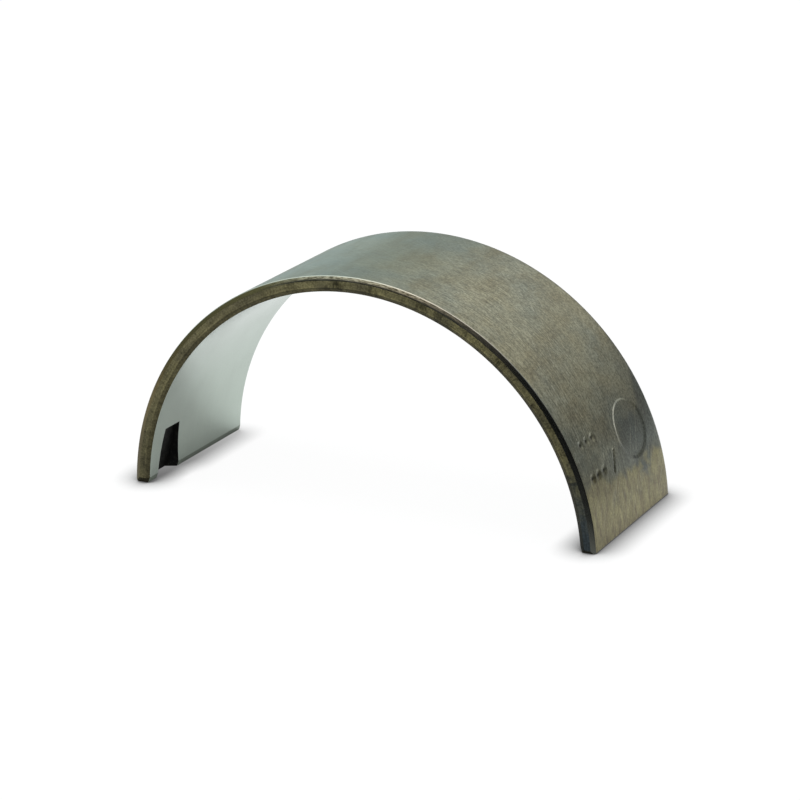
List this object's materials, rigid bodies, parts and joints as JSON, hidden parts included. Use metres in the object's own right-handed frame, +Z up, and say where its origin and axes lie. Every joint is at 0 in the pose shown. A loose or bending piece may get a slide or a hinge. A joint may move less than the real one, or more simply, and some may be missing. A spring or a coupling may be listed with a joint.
{
  "type": "engine bearing shell",
  "caption": "Half-round plain bearing shell: a steel back with a bonded alloy lining, chamfered rims and a pressed locating lug, standing on its parting faces.",
  "frame": {"origin": "on the parting plane, at mid-span and mid-width, where the housing bore's axis lies when the shell is fitted", "axes": "+Y along the bearing axis, +Z up to the crown, +X across the span, away from the leg with the lug"},
  "size_m": [0.0588, 0.0208, 0.0275],
  "materials": {
    "steel_back": "steel strip back with a dull olive-grey skin, fine scratches along the arc, and stains",
    "bearing_lining": "pale satin bearing alloy, finely bored along the arc"
  },
  "bodies": {
    "root": {"steel_back": "steel_back", "bearing_lining": "bearing_lining"}
  },
  "joints": []
}
